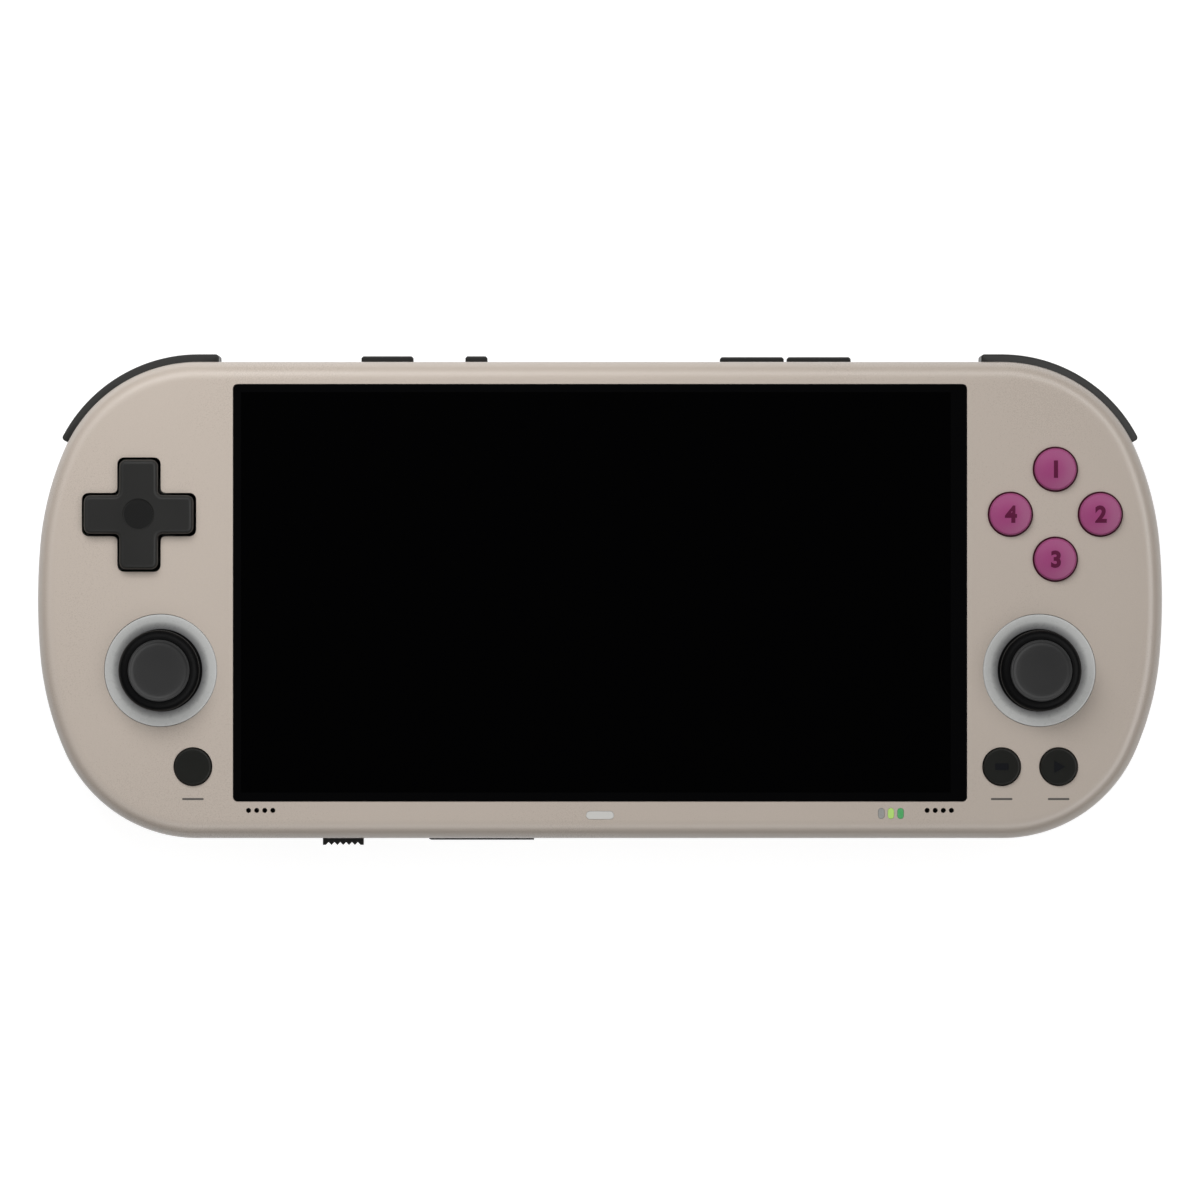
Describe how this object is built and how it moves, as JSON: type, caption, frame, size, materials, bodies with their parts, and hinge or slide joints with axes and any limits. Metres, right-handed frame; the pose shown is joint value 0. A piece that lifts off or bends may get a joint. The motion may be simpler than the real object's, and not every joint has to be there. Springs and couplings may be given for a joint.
{
  "type": "handheld game console",
  "caption": "Wide handheld game console with rounded ends and fuller grips behind, a large front glass, direction pad, thumb sticks, face buttons and shoulder buttons.",
  "frame": {"origin": "middle of the bounding box on the plane that the grips rest on", "axes": "+X to the player's right along the body, +Y to the top edge, +Z out of the screen"},
  "size_m": [0.188, 0.0822, 0.0221],
  "materials": {
    "shell_taupe": "satin moulded plastic",
    "cover_glass": "gloss",
    "display_black": "gloss",
    "magenta_plastic": "satin moulded plastic",
    "black_plastic": "satin moulded plastic",
    "stick_rubber": "fine matte",
    "pale_ring": "satin translucent plastic",
    "steel": "plain",
    "silicone": "matte",
    "board": "solder mask",
    "battery_foil": "wrapped foil",
    "light_window": "clear moulded plastic",
    "adhesive": "tape"
  },
  "bodies": {
    "chassis": {"battery": "battery_foil", "card_socket": "steel", "center_light": "light_window", "charge_port": "steel", "display_panel": "display_black", "dpad_membrane": "silicone", "face_button_membrane": "silicone", "front_glass": "cover_glass", "front_shell": "shell_taupe", "glass_adhesive": "adhesive", "headphone_jack": "black_plastic", "heat_spreader": "steel", "left_light_ring": "pale_ring", "left_speaker": "black_plastic", "left_stick_module": "black_plastic", "main_board": "board", "mode_switch_base": "black_plastic", "rear_shell": "shell_taupe", "right_light_ring": "pale_ring", "right_speaker": "black_plastic", "right_stick_module": "black_plastic", "shell_screws": "steel", "shield_can": "steel", "shoulder_pins": "steel", "shoulder_switches": "black_plastic", "side_switches": "black_plastic", "small_button_membranes": "silicone", "status_lights": "light_window"},
    "button_a": {"button_a": "magenta_plastic"},
    "button_b": {"button_b": "magenta_plastic"},
    "button_x": {"button_x": "magenta_plastic"},
    "button_y": {"button_y": "magenta_plastic"},
    "menu_button": {"menu_button": "black_plastic"},
    "select_button": {"select_button": "black_plastic"},
    "start_button": {"start_button": "black_plastic"},
    "power_button": {"power_button": "black_plastic"},
    "function_button": {"function_button": "black_plastic"},
    "volume_up_button": {"volume_up_button": "black_plastic"},
    "volume_down_button": {"volume_down_button": "black_plastic"},
    "mode_slider": {"mode_slider": "black_plastic"},
    "card_cover": {"card_cover": "black_plastic"},
    "dpad_pivot": {"dpad_pivot": "black_plastic"},
    "dpad": {"dpad": "black_plastic"},
    "left_stick_yoke": {"left_stick_yoke": "steel"},
    "left_stick_rocker": {"left_stick_rocker": "steel"},
    "left_stick_cap": {"left_stick_cap": "stick_rubber", "left_stick_shaft": "steel"},
    "left_stick_arch": {"left_stick_arch": "steel"},
    "left_front_shoulder": {"left_front_shoulder": "black_plastic"},
    "left_rear_shoulder": {"left_rear_shoulder": "black_plastic"},
    "right_stick_yoke": {"right_stick_yoke": "steel"},
    "right_stick_rocker": {"right_stick_rocker": "steel"},
    "right_stick_cap": {"right_stick_cap": "stick_rubber", "right_stick_shaft": "steel"},
    "right_stick_arch": {"right_stick_arch": "steel"},
    "right_front_shoulder": {"right_front_shoulder": "black_plastic"},
    "right_rear_shoulder": {"right_rear_shoulder": "black_plastic"}
  },
  "joints": [
    {"name": "button_a_press", "type": "slide", "parent": "chassis", "child": "button_a", "axis": [0, 0, -1], "range_m": [0, 0.001], "stiffness_N_per_m": 400},
    {"name": "button_b_press", "type": "slide", "parent": "chassis", "child": "button_b", "axis": [0, 0, -1], "range_m": [0, 0.001], "stiffness_N_per_m": 400},
    {"name": "button_x_press", "type": "slide", "parent": "chassis", "child": "button_x", "axis": [0, 0, -1], "range_m": [0, 0.001], "stiffness_N_per_m": 400},
    {"name": "button_y_press", "type": "slide", "parent": "chassis", "child": "button_y", "axis": [0, 0, -1], "range_m": [0, 0.001], "stiffness_N_per_m": 400},
    {"name": "menu_button_press", "type": "slide", "parent": "chassis", "child": "menu_button", "axis": [0, 0, -1], "range_m": [0, 0.0005], "stiffness_N_per_m": 500},
    {"name": "select_button_press", "type": "slide", "parent": "chassis", "child": "select_button", "axis": [0, 0, -1], "range_m": [0, 0.0005], "stiffness_N_per_m": 500},
    {"name": "start_button_press", "type": "slide", "parent": "chassis", "child": "start_button", "axis": [0, 0, -1], "range_m": [0, 0.0005], "stiffness_N_per_m": 500},
    {"name": "power_button_press", "type": "slide", "parent": "chassis", "child": "power_button", "axis": [0, -1, 0], "range_m": [0, 0.0004], "stiffness_N_per_m": 800},
    {"name": "function_button_press", "type": "slide", "parent": "chassis", "child": "function_button", "axis": [0, -1, 0], "range_m": [0, 0.0004], "stiffness_N_per_m": 800},
    {"name": "volume_up_button_press", "type": "slide", "parent": "chassis", "child": "volume_up_button", "axis": [0, -1, 0], "range_m": [0, 0.0004], "stiffness_N_per_m": 800},
    {"name": "volume_down_button_press", "type": "slide", "parent": "chassis", "child": "volume_down_button", "axis": [0, -1, 0], "range_m": [0, 0.0004], "stiffness_N_per_m": 800},
    {"name": "mode_slider_slide", "type": "slide", "parent": "chassis", "child": "mode_slider", "axis": [1, 0, 0], "range_m": [-0.0012, 0.0012]},
    {"name": "card_cover_hinge", "type": "hinge", "parent": "chassis", "child": "card_cover", "pos_m": [-0.02815, -0.03961, 0.0114], "axis": [0, 0, -1], "range_deg": [0, 95]},
    {"name": "dpad_tilt_x", "type": "hinge", "parent": "chassis", "child": "dpad_pivot", "pos_m": [-0.0769, 0.01417, 0.0133], "axis": [1, 0, 0], "range_deg": [-4.5, 4.5], "stiffness_Nm_per_rad": 0.05},
    {"name": "dpad_tilt_y", "type": "hinge", "parent": "dpad_pivot", "child": "dpad", "pos_m": [-0.0769, 0.01417, 0.0133], "axis": [0, 1, 0], "range_deg": [-4.5, 4.5], "stiffness_Nm_per_rad": 0.05},
    {"name": "left_stick_tilt_x", "type": "hinge", "parent": "chassis", "child": "left_stick_yoke", "pos_m": [-0.0733, -0.01182, 0.009], "axis": [1, 0, 0], "range_deg": [-12.5, 12.5], "stiffness_Nm_per_rad": 0.02},
    {"name": "left_stick_tilt_y", "type": "hinge", "parent": "left_stick_yoke", "child": "left_stick_rocker", "pos_m": [-0.0733, -0.01182, 0.009], "axis": [0, 1, 0], "range_deg": [-12.5, 12.5], "stiffness_Nm_per_rad": 0.02},
    {"name": "left_stick_click", "type": "slide", "parent": "left_stick_rocker", "child": "left_stick_cap", "axis": [0, 0, -1], "range_m": [0, 0.0004], "stiffness_N_per_m": 600},
    {"name": "left_stick_arch_turn", "type": "hinge", "parent": "chassis", "child": "left_stick_arch", "pos_m": [-0.0733, -0.01182, 0.009], "axis": [0, 1, 0], "range_deg": [-12.5, 12.5]},
    {"name": "left_front_shoulder_press", "type": "hinge", "parent": "chassis", "child": "left_front_shoulder", "pos_m": [-0.062, 0.03592, 0.0114], "axis": [0, 0, 1], "range_deg": [0, 1.8], "stiffness_Nm_per_rad": 0.5},
    {"name": "left_rear_shoulder_press", "type": "hinge", "parent": "chassis", "child": "left_rear_shoulder", "pos_m": [-0.062, 0.03592, 0.0114], "axis": [0, 0, 1], "range_deg": [0, 1.8], "stiffness_Nm_per_rad": 0.5},
    {"name": "right_stick_tilt_x", "type": "hinge", "parent": "chassis", "child": "right_stick_yoke", "pos_m": [0.0733, -0.01182, 0.009], "axis": [1, 0, 0], "range_deg": [-12.5, 12.5], "stiffness_Nm_per_rad": 0.02},
    {"name": "right_stick_tilt_y", "type": "hinge", "parent": "right_stick_yoke", "child": "right_stick_rocker", "pos_m": [0.0733, -0.01182, 0.009], "axis": [0, 1, 0], "range_deg": [-12.5, 12.5], "stiffness_Nm_per_rad": 0.02},
    {"name": "right_stick_click", "type": "slide", "parent": "right_stick_rocker", "child": "right_stick_cap", "axis": [0, 0, -1], "range_m": [0, 0.0004], "stiffness_N_per_m": 600},
    {"name": "right_stick_arch_turn", "type": "hinge", "parent": "chassis", "child": "right_stick_arch", "pos_m": [0.0733, -0.01182, 0.009], "axis": [0, 1, 0], "range_deg": [-12.5, 12.5]},
    {"name": "right_front_shoulder_press", "type": "hinge", "parent": "chassis", "child": "right_front_shoulder", "pos_m": [0.062, 0.03592, 0.0114], "axis": [0, 0, -1], "range_deg": [0, 1.8], "stiffness_Nm_per_rad": 0.5},
    {"name": "right_rear_shoulder_press", "type": "hinge", "parent": "chassis", "child": "right_rear_shoulder", "pos_m": [0.062, 0.03592, 0.0114], "axis": [0, 0, -1], "range_deg": [0, 1.8], "stiffness_Nm_per_rad": 0.5}
  ],
  "couplings": [
    {"joint": "left_stick_arch_turn", "follows": "left_stick_tilt_y", "ratio": 1},
    {"joint": "right_stick_arch_turn", "follows": "right_stick_tilt_y", "ratio": 1}
  ]
}
